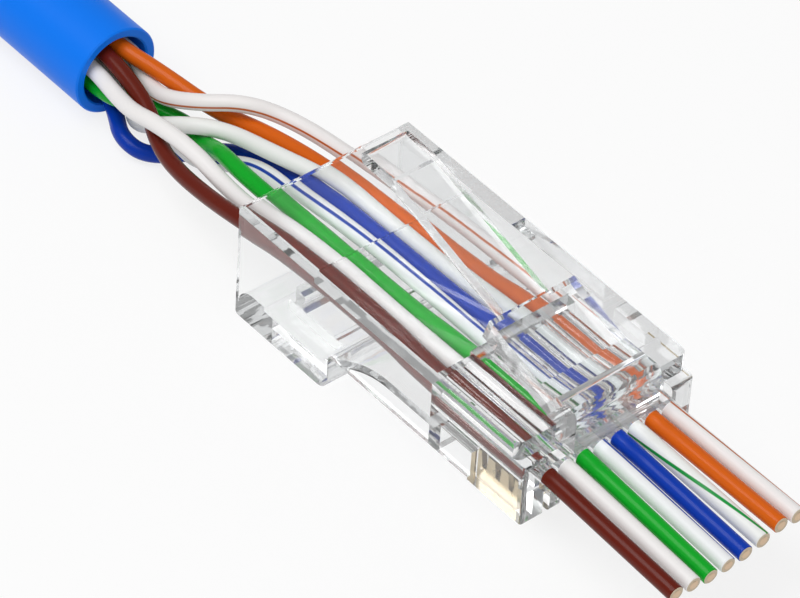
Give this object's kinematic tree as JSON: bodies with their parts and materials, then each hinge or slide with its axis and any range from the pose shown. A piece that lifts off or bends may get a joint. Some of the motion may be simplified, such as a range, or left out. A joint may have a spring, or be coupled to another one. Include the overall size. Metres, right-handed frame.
{
  "type": "rj45 modular plug",
  "caption": "Clear pass-through modular plug with a flexing latch, threaded onto the fanned-out conductors of a round cable and not yet crimped.",
  "frame": {"origin": "middle of the plug's footprint, on the plane that its contact side rests on, without the cable and its conductors", "axes": "+X out of the nose towards the jack, +Y across the plug, +Z to the latch side"},
  "size_m": [0.1112, 0.0116, 0.0128],
  "materials": {
    "clear_plastic": "clear gloss, lightly frosted edges",
    "gold_plate": "thin bright gold plate",
    "bare_copper": "bright drawn copper",
    "jacket_blue": "satin extruded jacket",
    "insulation_brown": "smooth extruded insulation",
    "insulation_white_brown": "smooth extruded insulation",
    "insulation_green": "smooth extruded insulation",
    "insulation_white_blue": "smooth extruded insulation",
    "insulation_blue": "smooth extruded insulation",
    "insulation_white_green": "smooth extruded insulation",
    "insulation_orange": "smooth extruded insulation",
    "insulation_white_orange": "smooth extruded insulation"
  },
  "bodies": {
    "plug": {"housing": "clear_plastic", "contact_1": "gold_plate", "contact_2": "gold_plate", "contact_3": "gold_plate", "contact_4": "gold_plate", "contact_5": "gold_plate", "contact_6": "gold_plate", "contact_7": "gold_plate", "contact_8": "gold_plate", "cable_jacket": "jacket_blue", "wire_brown": "insulation_brown", "wire_white_brown": "insulation_white_brown", "wire_green": "insulation_green", "wire_white_blue": "insulation_white_blue", "wire_blue": "insulation_blue", "wire_white_green": "insulation_white_green", "wire_orange": "insulation_orange", "wire_white_orange": "insulation_white_orange", "copper_brown": "bare_copper", "copper_white_brown": "bare_copper", "copper_green": "bare_copper", "copper_white_blue": "bare_copper", "copper_blue": "bare_copper", "copper_white_green": "bare_copper", "copper_orange": "bare_copper", "copper_white_orange": "bare_copper"},
    "latch": {"latch_lever": "clear_plastic"}
  },
  "joints": [
    {"name": "latch_flex", "type": "hinge", "parent": "plug", "child": "latch", "pos_m": [0.01098, 0, 0.00745], "axis": [0, 1, 0], "range_deg": [-10, 0], "stiffness_Nm_per_rad": 0.02}
  ]
}
